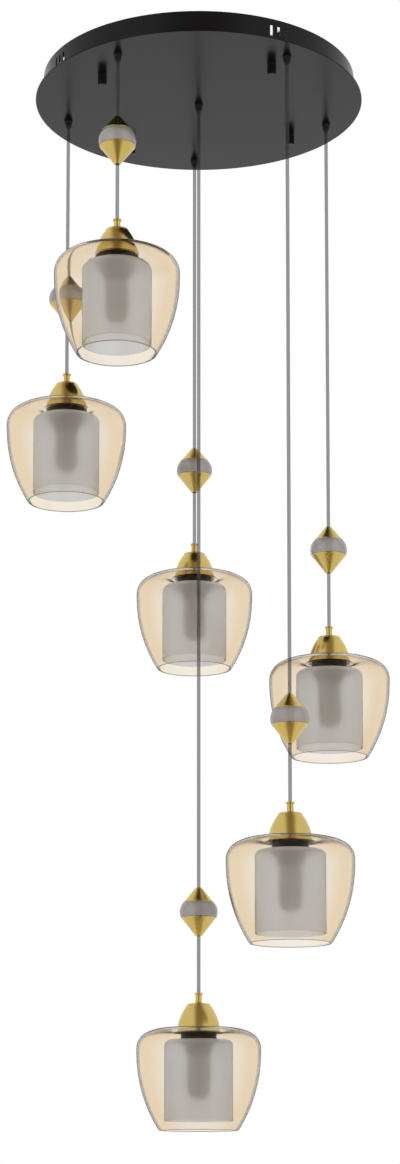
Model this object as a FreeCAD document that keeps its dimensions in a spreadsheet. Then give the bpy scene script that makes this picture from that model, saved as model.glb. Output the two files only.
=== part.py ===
"""Cluster pendant: a round canopy with six glass pendants at stepped heights.

Millimetres. +Z is up and the origin is the middle of the ceiling face, so everything hangs below zero.
Pendants 1 to 5 stand on a pentagon, from the highest to the lowest, and pendant 6 hangs in the middle.
"""
import FreeCAD, Part
import math
import os
import Sketcher

CORNERS = 5
ARMS = 4
MIDDLE_PENDANT = CORNERS + 1
PENDANTS = range(1, MIDDLE_PENDANT + 1)
LEFT, RIGHT = 1, -1
THROUGH_ALL = 1
SET_DEPTH = 0
STRAIGHT = 1e-3

# Every driving dimension, written once. Lengths are millimetres and angles are degrees.
DIMENSIONS = {
    # canopy ring, rolled from sheet steel with a flange above and below
    "plate_lip": 12.0, "ring_height": 34.0, "sheet": 1.2, "top_flange": 15.0, "low_flange": 10.0,
    "slot_width": 4.5, "slot_height": 16.0, "slot_pitch": 12.0, "slot_floor": 8.5, "slot_angle": 27.5,
    # mounting cross and its fasteners; the arms' ends step down under the ring's flange
    "cross_width": 25.0, "cross_thick": 3.0, "cross_gap": 0.5, "cross_angle": 35.0, "cross_lap": 6.0,
    "anchor_inset": 78.0, "anchor_hole_d": 5.5,
    "screw_inset": 9.0, "screw_d": 4.0, "screw_head_d": 7.5, "screw_head": 2.4,
    "screw_head_rim": 1.4, "screw_head_bevel": 1.8,
    "stud_inset": 58.0, "stud_d": 5.0, "stud_end": 14.0, "nut_d": 13.5, "nut_length": 18.0,
    "nut_edge": 1.0, "thread_play": 0.1, "hole_play": 0.25,
    # cover plate
    "plate_d": 500.0, "plate_thick": 2.0, "plate_edge": 0.7,
    # cord grips and their nuts
    "grip_flange_d": 13.0, "grip_flange": 2.5, "grip_length": 12.0, "grip_tip_d": 7.4,
    "grip_shank_d": 9.8, "grip_shank": 7.0, "grip_nut_flats": 13.0, "grip_nut": 4.0, "cord_play": 0.1,
    # terminal block
    "block_length": 64.0, "block_width": 22.0, "block_height": 16.0, "block_reach": 75.0,
    "block_screw_d": 5.0, "block_screw_depth": 6.0, "block_pitch": 9.0, "tail_spacing": 12.0,
    "tail_approach": 30.0, "tail_bend": 16.2, "tail_drop": 12.0,
    # cords and pendant positions; each drop is from the plate's underside to the top of a glass
    "cord_d": 5.4, "cord_seat": 12.0, "pendant_inset": 26.5, "first_angle": 234.0,
    "drop_1": 305.0, "drop_2": 460.0, "drop_3": 688.0,
    "drop_4": 854.0, "drop_5": 1162.0, "drop_6": 1420.0,
    # double-cone bead, measured from its widest level
    "bead_rise": 172.0, "bead_play": 0.3, "bead_wall": 1.9, "bead_tip_d": 9.0, "bead_gap": 0.2,
    "cap_top": 36.0, "cap_seat": 14.0, "cap_seat_d": 45.0,
    "base_low": 36.0, "base_seat": 8.5, "base_seat_d": 52.4, "bead_curve": 20.7, "stem_d": 12.0,
    # brass cup and collar
    "cup_d": 63.0, "cup_top": 36.0, "cup_top_d": 35.0, "cup_skirt": 4.0, "cup_curve": 70.0,
    "cup_corner": 2.5, "cup_wall": 1.2, "seat_gap": 0.2,
    "collar_height": 16.0, "collar_d": 9.6, "collar_flange_d": 12.6, "collar_flange": 2.6,
    "collar_foot_d": 13.6, "collar_foot": 2.0, "nipple_d": 10.0, "nipple": 9.0,
    # lampholder with its two shade rings
    "holder_d": 39.5, "holder_neck_d": 34.0, "holder_low": 38.0, "lamp_play": 0.3,
    "holder_floor": 8.0, "holder_wall": 4.0,
    "spacer_d": 53.0, "retainer_d": 50.0, "retainer": 6.5,
    # outer glass
    "glass_wall": 2.2, "glass_hole_d": 41.0, "outer_d": 183.0, "outer_height": 150.0, "mouth_d": 116.5,
    "crest_d": 100.0, "neck_d": 72.0, "neck_drop": 4.0, "shoulder_r": 26.0,
    "belly_top": 30.0, "belly_low": 36.0,
    # inner glass
    "inner_d": 101.0, "inner_top": 17.0, "inner_low": 136.0, "inner_r": 9.0,
    # lamp
    "lamp_d": 35.0, "lamp_low": 105.0, "lamp_neck": 50.0, "lamp_cap_d": 26.4, "lamp_cap_low": 38.5,
    "lamp_cap_top": 11.0,
}


class Size:
    """A length or number together with the expression that yields it from the driving dimensions."""

    def __init__(self, value, text):
        self.value = float(value)
        self.text = text

    def __add__(self, other):
        other = size(other)
        return Size(self.value + other.value, f"({self.text} + {other.text})")

    def __sub__(self, other):
        other = size(other)
        return Size(self.value - other.value, f"({self.text} - {other.text})")

    def __mul__(self, other):
        other = size(other)
        return Size(self.value * other.value, f"({self.text} * {other.text})")

    def __truediv__(self, other):
        other = size(other)
        return Size(self.value / other.value, f"({self.text} / {other.text})")

    def __radd__(self, other):
        return size(other) + self

    def __rsub__(self, other):
        return size(other) - self

    def __rmul__(self, other):
        return size(other) * self

    def __neg__(self):
        return Size(-self.value, f"(-1 * {self.text})")


def size(number):
    """Take a plain number or a Size as a Size."""
    return number if isinstance(number, Size) else Size(number, repr(float(number)))


def root(number):
    return Size(math.sqrt(number.value), f"sqrt({number.text})")


def cosine(angle):
    return Size(math.cos(math.radians(angle.value)), f"cos({angle.text})")


def sine(angle):
    return Size(math.sin(math.radians(angle.value)), f"sin({angle.text})")


doc = FreeCAD.newDocument("cluster_pendant")
sheet = doc.addObject("Spreadsheet::Sheet", "sizes")
for row, (alias, number) in enumerate(DIMENSIONS.items(), start=1):
    sheet.set(f"A{row}", alias)
    sheet.set(f"B{row}", str(number))
    sheet.setAlias(f"B{row}", alias)
doc.recompute()


class Sheet:
    """Reads a driving dimension by its name."""

    def __getattr__(self, alias):
        return Size(sheet.get(alias), f"sizes.{alias}")


S = Sheet()
nodes = {}


# Levels and radii that several sub-parts share
PLATE_TOP = -S.ring_height
PLATE_LOW = PLATE_TOP - S.plate_thick
CROSS_LOW = -(S.sheet + S.cross_thick)
GRIP_LOW = PLATE_LOW - S.grip_length
TAIL_LEVEL = -S.tail_drop
CORD_R = S.cord_d / 2
RING_D = S.plate_d - 2 * S.plate_lip
SCREW_CIRCLE_D = RING_D - 2 * S.screw_inset
ANCHOR_CIRCLE_D = RING_D - 2 * S.anchor_inset
STUD_CIRCLE_D = RING_D - 2 * S.stud_inset
PENDANT_CIRCLE_R = RING_D / 2 - S.pendant_inset
BEAD_BORE_R = CORD_R + S.bead_play
CUP_LOW = S.seat_gap - S.neck_drop
COLLAR_TOP = S.cup_top + S.collar_height
NECK_INSIDE = -(S.neck_drop + S.glass_wall)
HOLDER_R = S.holder_d / 2


# ---------------------------------------------------------------- helpers

def bind(obj, **sizes):
    """Tie an object's properties to sizes; a double underscore stands for a dot in the name."""
    for name, value in sizes.items():
        obj.setExpression(name.replace("__", "."), size(value).text)


def place(obj, x=None, y=None, z=None, turn=None):
    """Tie an object's place, and its turn about Z, to sizes."""
    if turn is not None:
        obj.Placement.Rotation = FreeCAD.Rotation(FreeCAD.Vector(0, 0, 1), turn.value)
        bind(obj, Placement__Rotation__Angle=turn)
    for axis, value in (("x", x), ("y", y), ("z", z)):
        if value is not None:
            bind(obj, **{f"Placement__Base__{axis}": value})


def keep(name, obj):
    """Record a finished sub-part under the name of its node."""
    obj.Label = name
    nodes[name] = obj
    return obj


def plane(body, role):
    return next(f for f in body.Origin.OriginFeatures if f.Role == role)


def new_sketch(body, role, name):
    sketch = body.newObject("Sketcher::SketchObject", name)
    sketch.AttachmentSupport = [(plane(body, role), "")]
    sketch.MapMode = "FlatFace"
    return sketch


def hold(sketch, constraint, value):
    """Add a dimensional constraint and tie it to a size."""
    number = sketch.addConstraint(constraint)
    sketch.setExpression(f"Constraints[{number}]", value.text)


def arc_between(start, end, radius, bulge):
    """The short arc from start to end that bulges to the left (LEFT) or right (RIGHT) of the way."""
    chord = end - start
    middle = (start + end) / 2
    side = FreeCAD.Vector(-chord.y, chord.x, 0).normalize() * bulge
    centre = middle - side * math.sqrt(max(radius ** 2 - (chord.Length / 2) ** 2, 0.0))
    return Part.Arc(start, centre + side * radius, end)


def outline(sketch, corners):
    """Draw a closed outline. A corner is (across, up), or (across, up, radius, bulge) after an arc."""
    points = [FreeCAD.Vector(size(c[0]).value, size(c[1]).value, 0) for c in corners]
    ends = []
    for i, corner in enumerate(corners):
        start, end = points[i - 1], points[i]
        if len(corner) == 2:
            number = sketch.addGeometry(Part.LineSegment(start, end), False)
            ends.append((number, 1, 2))
            continue
        number = sketch.addGeometry(arc_between(start, end, corner[2].value, corner[3]), False)
        first, second = sketch.getPoint(number, 1), sketch.getPoint(number, 2)
        swapped = first.distanceToPoint(end) < second.distanceToPoint(end)
        ends.append((number, 2, 1) if swapped else (number, 1, 2))
        hold(sketch, Sketcher.Constraint("Radius", number, corner[2].value), corner[2])
    for i, corner in enumerate(corners):
        number, _, last = ends[i]
        following = ends[(i + 1) % len(corners)]
        sketch.addConstraint(Sketcher.Constraint("Coincident", number, last, following[0], following[1]))
        for kind, axis, value in (("DistanceX", -2, size(corner[0])), ("DistanceY", -1, size(corner[1]))):
            if value.value == 0:
                sketch.addConstraint(Sketcher.Constraint("PointOnObject", number, last, axis))
            else:
                hold(sketch, Sketcher.Constraint(kind, -1, 1, number, last, value.value), value)


def turned(name, corners):
    """A body turned about Z from an outline in the XZ plane."""
    body = doc.addObject("PartDesign::Body", name)
    sketch = new_sketch(body, "XZ_Plane", f"{name}_outline")
    outline(sketch, corners)
    feature = body.newObject("PartDesign::Revolution", f"{name}_turn")
    feature.Profile = sketch
    feature.ReferenceAxis = (sketch, ["V_Axis"])
    feature.Angle = 360.0
    sketch.Visibility = False
    return body


def circle_at(sketch, x, y, radius):
    """A circle in a sketch, its centre and radius tied to sizes."""
    middle = FreeCAD.Vector(size(x).value, size(y).value, 0)
    number = sketch.addGeometry(Part.Circle(middle, FreeCAD.Vector(0, 0, 1), radius.value), False)
    hold(sketch, Sketcher.Constraint("Radius", number, radius.value), radius)
    for kind, axis, value in (("DistanceX", -2, size(x)), ("DistanceY", -1, size(y))):
        if value.value == 0:
            sketch.addConstraint(Sketcher.Constraint("PointOnObject", number, 3, axis))
        else:
            hold(sketch, Sketcher.Constraint(kind, -1, 1, number, 3, value.value), value)


def cut_holes(body, name, holes):
    """Cut round holes, given as (x, y, radius), through the whole body along Z."""
    sketch = new_sketch(body, "XY_Plane", f"{name}_sketch")
    for x, y, radius in holes:
        circle_at(sketch, x, y, radius)
    pocket = body.newObject("PartDesign::Pocket", name)
    pocket.Profile = sketch
    pocket.Type = THROUGH_ALL
    pocket.Midplane = True
    sketch.Visibility = False
    return pocket


def set_depth(pocket, depth):
    """Make a pocket reach only half the depth to each side of its sketch."""
    pocket.Type = SET_DEPTH
    pocket.Midplane = True
    bind(pocket, Length=depth)


def repeat(body, feature, name, count):
    """Repeat a feature evenly round Z."""
    pattern = body.newObject("PartDesign::PolarPattern", name)
    pattern.Originals = [feature]
    pattern.Axis = (plane(body, "Z_Axis"), [""])
    pattern.Angle = 360.0
    pattern.Occurrences = count
    body.Tip = pattern


def group(name, pieces):
    """Several like pieces that share one node."""
    compound = doc.addObject("Part::Compound", name)
    compound.Links = pieces
    return keep(name, compound)


def pendant_spot(number):
    """The x and y of a pendant's axis."""
    if number == MIDDLE_PENDANT:
        return size(0), size(0)
    angle = S.first_angle - (number - 1) * 360 / CORNERS
    return PENDANT_CIRCLE_R * cosine(angle), PENDANT_CIRCLE_R * sine(angle)


def arm_spot(arm, circle_d):
    """The x and y of a point on one arm of the cross."""
    angle = S.cross_angle + arm * 360 / ARMS
    return circle_d / 2 * cosine(angle), circle_d / 2 * sine(angle)


# ---------------------------------------------------------------- canopy

def make_ring():
    """The ring: a rolled wall with two flanges and groups of three ventilation slots."""
    outside = RING_D / 2
    wall = outside - S.sheet
    body = turned("canopy_ring", [
        (outside, 0), (outside, PLATE_TOP), (wall - S.low_flange, PLATE_TOP),
        (wall - S.low_flange, PLATE_TOP + S.sheet), (wall, PLATE_TOP + S.sheet), (wall, -S.sheet),
        (wall - S.top_flange, -S.sheet), (wall - S.top_flange, 0)])
    sketch = new_sketch(body, "XZ_Plane", "slot_sketch")
    floor = PLATE_TOP + S.slot_floor
    roof = floor + S.slot_height
    for column in (-1, 0, 1):
        left = column * S.slot_pitch - S.slot_width / 2
        right = column * S.slot_pitch + S.slot_width / 2
        outline(sketch, [(left, floor), (right, floor), (right, roof), (left, roof)])
    pocket = body.newObject("PartDesign::Pocket", "slots")
    pocket.Profile = sketch
    pocket.Type = THROUGH_ALL
    sketch.Visibility = False
    repeat(body, pocket, "slot_groups", ARMS)
    place(body, turn=S.slot_angle)
    return keep("canopy_ring", body)


def make_cross():
    """The mounting cross: flush with the ceiling, its arms' ends stepped down under the ring's flange."""
    half = S.cross_width / 2
    wall = RING_D / 2 - S.sheet
    reach = root(wall * wall - half * half) - S.cross_gap
    step = wall - S.top_flange - S.cross_gap
    overlap = step - S.cross_lap
    body = doc.addObject("PartDesign::Body", "ceiling_cross")
    sketch = new_sketch(body, "XY_Plane", "cross_outline")
    outline(sketch, [
        (step, half), (half, half), (half, step), (-half, step), (-half, half), (-step, half),
        (-step, -half), (-half, -half), (-half, -step), (half, -step), (half, -half), (step, -half)])
    pad = body.newObject("PartDesign::Pad", "cross_pad")
    pad.Profile = sketch
    pad.Reversed = True
    bind(pad, Length=S.cross_thick)
    profile = new_sketch(body, "XZ_Plane", "arm_end_outline")
    outline(profile, [
        (reach, -S.sheet), (reach, CROSS_LOW), (overlap, CROSS_LOW), (overlap, -S.sheet)])
    end = body.newObject("PartDesign::Pad", "arm_end")
    end.Profile = profile
    end.Midplane = True
    bind(end, Length=S.cross_width)
    repeat(body, end, "arm_ends", ARMS)
    pocket = cut_holes(body, "arm_holes", [
        (ANCHOR_CIRCLE_D / 2, 0, S.anchor_hole_d / 2),
        (SCREW_CIRCLE_D / 2, 0, S.screw_d / 2 + S.thread_play)])
    repeat(body, pocket, "arm_hole_ring", ARMS)
    place(body, turn=S.cross_angle)
    return keep("ceiling_cross", body)


def drill_ring_for_screws(ring):
    """Holes for the cross screws in the ring's top flange."""
    radius = SCREW_CIRCLE_D / 2
    swing = S.cross_angle - S.slot_angle
    pocket = cut_holes(ring, "screw_holes", [
        (radius * cosine(swing), radius * sine(swing), S.screw_d / 2 + S.thread_play)])
    set_depth(pocket, 4 * S.sheet)
    repeat(ring, pocket, "screw_hole_ring", ARMS)


def make_cross_screws():
    """Pan-head screws that hold the cross to the ring, their heads below."""
    screws = []
    rim = CROSS_LOW - S.screw_head_rim
    low = CROSS_LOW - S.screw_head
    for arm in range(ARMS):
        screw = turned(f"cross_screw_{arm + 1}", [
            (0, -S.thread_play), (S.screw_d / 2, -S.thread_play), (S.screw_d / 2, CROSS_LOW),
            (S.screw_head_d / 2, CROSS_LOW), (S.screw_head_d / 2, rim),
            (S.screw_head_d / 2 - S.screw_head_bevel, low), (0, low)])
        x, y = arm_spot(arm, SCREW_CIRCLE_D)
        place(screw, x, y)
        screws.append(screw)
    return group("cross_screws", screws)


def make_studs():
    """Studs that hang from the cross through the cover plate."""
    studs = []
    for arm in range(ARMS):
        stud = doc.addObject("Part::Cylinder", f"plate_stud_{arm + 1}")
        bind(stud, Radius=S.stud_d / 2, Height=S.stud_end - PLATE_LOW - S.cross_thick)
        x, y = arm_spot(arm, STUD_CIRCLE_D)
        place(stud, x, y, PLATE_LOW - S.stud_end)
        studs.append(stud)
    return group("plate_studs", studs)


def make_plate():
    """The cover plate, a disc with a softened edge and its cord and stud holes."""
    edge = S.plate_d / 2
    body = turned("cover_plate", [
        (0, PLATE_LOW), (edge - S.plate_edge, PLATE_LOW), (edge, PLATE_LOW + S.plate_edge),
        (edge, PLATE_TOP), (0, PLATE_TOP)])
    stud_hole = S.stud_d / 2 + S.hole_play
    grip_hole = S.grip_shank_d / 2 + S.hole_play
    holes = [(*arm_spot(arm, STUD_CIRCLE_D), stud_hole) for arm in range(ARMS)]
    holes += [(*pendant_spot(number), grip_hole) for number in PENDANTS]
    cut_holes(body, "plate_holes", holes)
    return keep("cover_plate", body)


def make_finial_nuts():
    """Cylindrical cap nuts on the studs, with a blind thread and softened ends."""
    nuts = []
    low = PLATE_LOW - S.nut_length
    well = PLATE_LOW - S.stud_end - S.thread_play
    bore = S.stud_d / 2 + S.thread_play
    edge = S.nut_d / 2
    for arm in range(ARMS):
        nut = turned(f"finial_nut_{arm + 1}", [
            (bore, PLATE_LOW), (edge, PLATE_LOW), (edge, low + S.nut_edge), (edge - S.nut_edge, low),
            (0, low), (0, well), (bore, well)])
        x, y = arm_spot(arm, STUD_CIRCLE_D)
        place(nut, x, y)
        nuts.append(nut)
    return group("finial_nuts", nuts)


def make_grips():
    """Cord grips: a flange under the plate, a tapering tip and a threaded shank through the plate."""
    grips = []
    bore = CORD_R + S.cord_play
    shank, flange = S.grip_shank_d / 2, S.grip_flange_d / 2
    for number in PENDANTS:
        grip = turned(f"cord_grip_{number}", [
            (bore, PLATE_LOW + S.grip_shank), (shank, PLATE_LOW + S.grip_shank), (shank, PLATE_LOW),
            (flange, PLATE_LOW), (flange, PLATE_LOW - S.grip_flange), (S.grip_tip_d / 2, GRIP_LOW),
            (bore, GRIP_LOW)])
        place(grip, *pendant_spot(number))
        grips.append(grip)
    return group("cord_grips", grips)


def make_grip_nuts():
    """Hexagon nuts that clamp the grips from above."""
    nuts = []
    for number in PENDANTS:
        x, y = pendant_spot(number)
        hexagon = doc.addObject("Part::Prism", f"grip_hexagon_{number}")
        hexagon.Polygon = 6
        bind(hexagon, Circumradius=S.grip_nut_flats / math.sqrt(3), Height=S.grip_nut)
        place(hexagon, x, y, PLATE_TOP)
        thread = doc.addObject("Part::Cylinder", f"grip_thread_{number}")
        bind(thread, Radius=S.grip_shank_d / 2 + S.thread_play, Height=3 * S.grip_nut)
        place(thread, x, y, PLATE_TOP - S.grip_nut)
        nut = doc.addObject("Part::Cut", f"grip_nut_{number}")
        nut.Base = hexagon
        nut.Tool = thread
        nuts.append(nut)
    return group("grip_nuts", nuts)


def make_block():
    """The terminal block on one arm of the cross, with a row of clamping screws in its underside."""
    body = doc.addObject("PartDesign::Body", "terminal_block")
    half, side = S.block_length / 2, S.block_width / 2
    sketch = new_sketch(body, "XY_Plane", "block_outline")
    outline(sketch, [(half, side), (-half, side), (-half, -side), (half, -side)])
    pad = body.newObject("PartDesign::Pad", "block_pad")
    pad.Profile = sketch
    bind(pad, Length=S.block_height)
    wells = [(column * S.block_pitch, 0, S.block_screw_d / 2) for column in range(-3, 4)]
    pocket = cut_holes(body, "block_wells", wells)
    set_depth(pocket, 2 * S.block_screw_depth)
    x, y = arm_spot(0, 2 * S.block_reach)
    place(body, x, y, -(S.cross_thick + S.block_height), turn=S.cross_angle)
    return keep("terminal_block", body)


def block_point(along, across):
    """A point at the level of the cord tails, in the directions of the terminal block."""
    angle = math.radians(S.cross_angle.value)
    along = along + S.block_reach.value
    return FreeCAD.Vector(along * math.cos(angle) - across * math.sin(angle),
                          along * math.sin(angle) + across * math.cos(angle), TAIL_LEVEL.value)


def bent_tube(points, radius, bend):
    """A tube along straight runs joined by tangent arcs of the bend's radius."""
    edges = []
    start = points[0]
    for before, corner, after in zip(points, points[1:], points[2:]):
        into = (corner - before).normalize()
        out = (after - corner).normalize()
        turn = into.getAngle(out)
        if turn < STRAIGHT:
            continue
        setback = bend * math.tan(turn / 2)
        first, last = corner - into * setback, corner + out * setback
        inward = (out - into).normalize()
        middle = corner + inward * (bend / math.cos(turn / 2) - bend)
        edges += [Part.LineSegment(start, first).toShape(), Part.Arc(first, middle, last).toShape()]
        start = last
    edges.append(Part.LineSegment(start, points[-1]).toShape())
    path = Part.Wire(edges)
    ring = Part.Wire(Part.Circle(points[0], points[1] - points[0], radius).toShape())
    tube = path.makePipeShell([ring], True, False)
    fill = tube.Volume / (math.pi * radius ** 2 * path.Length)
    print(f"cord tail {path.Length:.1f} mm, bent at {bend:.1f} mm, volume ratio {fill:.4f}")
    return tube


def make_tails():
    """The cord ends inside the canopy, from each grip to the terminal block."""
    end, side = S.block_length.value / 2, S.block_width.value / 2
    step, approach = S.tail_spacing.value, S.tail_approach.value
    entries = (
        [block_point(-step, -side - approach), block_point(-step, -side)],
        [block_point(-step, side + approach), block_point(-step, side)],
        [block_point(step, side + approach), block_point(step, side)],
        [block_point(end + approach, 0), block_point(end, 0)],
        [block_point(step, -side - approach), block_point(step, -side)],
        [block_point(-end, 0)],
    )
    tails = []
    for number, entry in zip(PENDANTS, entries):
        x, y = pendant_spot(number)
        foot = FreeCAD.Vector(x.value, y.value, GRIP_LOW.value)
        top = FreeCAD.Vector(x.value, y.value, TAIL_LEVEL.value)
        tails.append(bent_tube([foot, top] + entry, CORD_R.value, S.tail_bend.value))
    feature = doc.addObject("Part::Feature", "cord_tails")
    feature.Shape = Part.Compound(tails)
    return keep("cord_tails", feature)


# ---------------------------------------------------------------- pendants

def drop(number):
    """How far the top of a pendant's glass hangs below the plate."""
    return getattr(S, f"drop_{number}")


def make_cord(number):
    """The straight cord from its grip into the collar; it passes through the bead."""
    cord = doc.addObject("Part::Cylinder", f"cord_{number}")
    low = PLATE_LOW - drop(number) + COLLAR_TOP - S.cord_seat
    bind(cord, Radius=CORD_R, Height=GRIP_LOW - low)
    place(cord, *pendant_spot(number), low)
    return keep(f"cord_{number}", cord)


def hang(body, number, rise=0):
    """Place a pendant's piece, whose own zero is the top of the glass or a level above it."""
    place(body, *pendant_spot(number), PLATE_LOW - drop(number) + rise)
    return body


def make_bead(number):
    """The double cone: an upper cap, a lower base whose stem carries the glass, and the glass."""
    stem_r = S.stem_d / 2
    tip_r = S.bead_tip_d / 2
    cap_slope = (S.cap_seat_d / 2 - tip_r) / (S.cap_top - S.cap_seat)
    base_slope = (S.base_seat_d / 2 - tip_r) / (S.base_low - S.base_seat)
    stem_hole = stem_r + S.bead_gap
    cap_roof = S.cap_top - (stem_hole + S.bead_wall - tip_r) / cap_slope
    base_floor = (stem_r + S.bead_wall - tip_r) / base_slope - S.base_low
    cap = turned(f"bead_cap_{number}", [
        (BEAD_BORE_R, S.cap_top), (tip_r, S.cap_top), (S.cap_seat_d / 2, S.cap_seat),
        (S.cap_seat_d / 2 - S.bead_wall, S.cap_seat), (stem_hole, cap_roof), (BEAD_BORE_R, cap_roof)])
    base_r, base_seat = S.base_seat_d / 2, -S.base_seat
    stem_top = cap_roof - S.bead_gap
    base = turned(f"bead_base_{number}", [
        (BEAD_BORE_R, stem_top), (BEAD_BORE_R, -S.base_low), (tip_r, -S.base_low), (base_r, base_seat),
        (base_r - S.bead_wall, base_seat), (stem_r, base_floor), (stem_r, stem_top)])
    band_low, band_top = base_seat + S.bead_gap, S.cap_seat - S.bead_gap
    glass = turned(f"bead_glass_{number}", [
        (stem_hole, band_low), (stem_hole, band_top), (S.cap_seat_d / 2, band_top),
        (base_r, band_low, S.bead_curve, LEFT)])
    for body in (cap, base, glass):
        hang(body, number, S.bead_rise)
    group(f"bead_caps_{number}", [cap, base])
    keep(f"bead_glass_{number}", glass)


def make_cup(number):
    """The brass cup, and the collar screwed through its top."""
    corner = S.cup_top - S.cup_corner
    shoulder = S.cup_top_d / 2
    wall = S.cup_wall
    skirt = CUP_LOW + S.cup_skirt
    nipple_r = S.nipple_d / 2
    hole = nipple_r + S.thread_play
    flat = shoulder - S.cup_corner
    cup = turned(f"cup_shell_{number}", [
        (S.cup_d / 2, CUP_LOW), (S.cup_d / 2, skirt), (shoulder, corner, S.cup_curve, RIGHT),
        (flat, S.cup_top, S.cup_corner, RIGHT), (hole, S.cup_top), (hole, S.cup_top - wall),
        (flat, S.cup_top - wall), (shoulder - wall, corner, S.cup_corner - wall, LEFT),
        (S.cup_d / 2 - wall, skirt, S.cup_curve - wall, LEFT), (S.cup_d / 2 - wall, CUP_LOW)])
    bore = CORD_R + S.cord_play
    flange_r, foot_r = S.collar_flange_d / 2, S.collar_foot_d / 2
    flange_low = COLLAR_TOP - S.collar_flange
    nipple_low = S.cup_top - S.nipple
    collar = turned(f"collar_{number}", [
        (bore, COLLAR_TOP), (flange_r, COLLAR_TOP), (flange_r, flange_low), (S.collar_d / 2, flange_low),
        (S.collar_d / 2, S.cup_top + S.collar_foot), (foot_r, S.cup_top + S.collar_foot / 2),
        (foot_r, S.cup_top), (nipple_r, S.cup_top), (nipple_r, nipple_low), (bore, nipple_low)])
    hang(cup, number)
    hang(collar, number)
    return group(f"cup_{number}", [cup, collar])


def make_holder(number):
    """The lampholder, the spacer ring between the two glasses and the retaining ring below them."""
    top = S.cup_top - S.cup_wall - S.seat_gap
    bore = S.lamp_cap_d / 2 + S.lamp_play
    nipple_hole = S.nipple_d / 2 + S.thread_play
    top_r = S.cup_top_d / 2 - S.cup_corner - S.cup_wall
    neck_r = S.holder_neck_d / 2
    seat = CUP_LOW + S.seat_gap
    holder = turned(f"holder_body_{number}", [
        (nipple_hole, top), (top_r, top), (neck_r, top - S.holder_wall), (neck_r, seat), (HOLDER_R, seat),
        (HOLDER_R, -S.holder_low), (bore, -S.holder_low), (bore, -S.holder_floor),
        (nipple_hole, -S.holder_floor)])
    ring_bore = HOLDER_R + S.thread_play
    over, under = S.seat_gap - S.inner_top, -(S.inner_top + S.glass_wall + S.seat_gap)
    spacer = turned(f"spacer_{number}", [
        (ring_bore, NECK_INSIDE - S.seat_gap), (S.spacer_d / 2, NECK_INSIDE - S.seat_gap),
        (S.spacer_d / 2, over), (ring_bore, over)])
    retainer = turned(f"retainer_{number}", [
        (ring_bore, under), (S.retainer_d / 2, under), (S.retainer_d / 2, under - S.retainer),
        (ring_bore, under - S.retainer)])
    for body in (holder, spacer, retainer):
        hang(body, number)
    return group(f"lampholder_{number}", [holder, spacer, retainer])


def outer_glass_line(inset):
    """Corners of the outer glass's surface, from its neck to its mouth, moved in by the inset."""
    crest_r, shoulder_r, outer_r = S.crest_d / 2, S.shoulder_r, S.outer_d / 2
    neck_run = crest_r - S.neck_d / 2
    neck_curve = (neck_run * neck_run + S.neck_drop * S.neck_drop) / (2 * S.neck_drop)
    neck_fall = neck_curve - S.neck_drop - inset
    neck_in = root((neck_curve - inset) * (neck_curve - inset) - neck_fall * neck_fall)
    run = outer_r - shoulder_r - crest_r
    drop_to_belly = S.belly_top * S.belly_top - shoulder_r * shoulder_r
    top_curve = (run * run + drop_to_belly) / (2 * (S.belly_top - shoulder_r))
    reach = top_curve - shoulder_r
    corner_x = outer_r - shoulder_r + (shoulder_r - inset) * run / reach
    corner_z = (shoulder_r - inset) * (top_curve - S.belly_top) / reach - S.belly_top
    taper = outer_r - S.mouth_d / 2
    fall = S.outer_height - S.belly_low
    side_curve = (taper * taper + fall * fall) / (2 * taper)
    mouth_r = outer_r - side_curve + root((side_curve - inset) * (side_curve - inset) - fall * fall)
    return [
        (crest_r - neck_in, -(S.neck_drop + inset)), (crest_r, -inset, neck_curve - inset),
        (corner_x, corner_z, top_curve - inset), (outer_r - inset, -S.belly_top, shoulder_r - inset),
        (outer_r - inset, -S.belly_low), (mouth_r, -S.outer_height, side_curve - inset)]


def make_outer_glass(number):
    """The bell glass: a dished neck, a round shoulder and a belly that draws in to the open mouth."""
    hole = S.glass_hole_d / 2
    outside = [(hole, -S.neck_drop)]
    outside += [corner if len(corner) == 2 else (*corner, LEFT) for corner in outer_glass_line(size(0))]
    inner = outer_glass_line(S.glass_wall)
    inside = [inner[-1][:2]]
    for corner, arrived in zip(reversed(inner[:-1]), reversed(inner)):
        inside.append(corner[:2] if len(arrived) == 2 else (corner[0], corner[1], arrived[2], RIGHT))
    body = turned(f"outer_glass_{number}", outside + inside + [(hole, NECK_INSIDE)])
    return keep(f"outer_glass_{number}", hang(body, number))


def make_inner_glass(number):
    """The glass cylinder with a round shoulder, open below."""
    radius, hole, wall = S.inner_d / 2, S.glass_hole_d / 2, S.glass_wall
    flat, corner = radius - S.inner_r, -(S.inner_top + S.inner_r)
    body = turned(f"inner_glass_{number}", [
        (hole, -S.inner_top), (flat, -S.inner_top), (radius, corner, S.inner_r, LEFT),
        (radius, -S.inner_low), (radius - wall, -S.inner_low), (radius - wall, corner),
        (flat, -(S.inner_top + wall), S.inner_r - wall, RIGHT), (hole, -(S.inner_top + wall))])
    return keep(f"inner_glass_{number}", hang(body, number))


def make_lamp(number):
    """The tubular lamp with its screw cap."""
    radius, cap = S.lamp_d / 2, S.lamp_cap_d / 2
    body = turned(f"bulb_{number}", [
        (0, -S.lamp_low), (radius, radius - S.lamp_low, radius, RIGHT), (radius, -S.lamp_neck),
        (cap, -S.lamp_cap_low), (cap, -S.lamp_cap_top), (0, -S.lamp_cap_top)])
    return keep(f"bulb_{number}", hang(body, number))


# ---------------------------------------------------------------- build, test and write

def check_states():
    """Stop if anything in the document failed or a sub-part is empty or broken."""
    for obj in doc.Objects:
        if "Invalid" in obj.State or "Error" in obj.State:
            raise RuntimeError(f"{obj.Name} failed: {obj.State}")
    for name, obj in nodes.items():
        if obj.Shape.isNull() or not obj.Shape.isValid() or not obj.Shape.Solids:
            raise RuntimeError(f"{name} has no valid solid")


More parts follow.
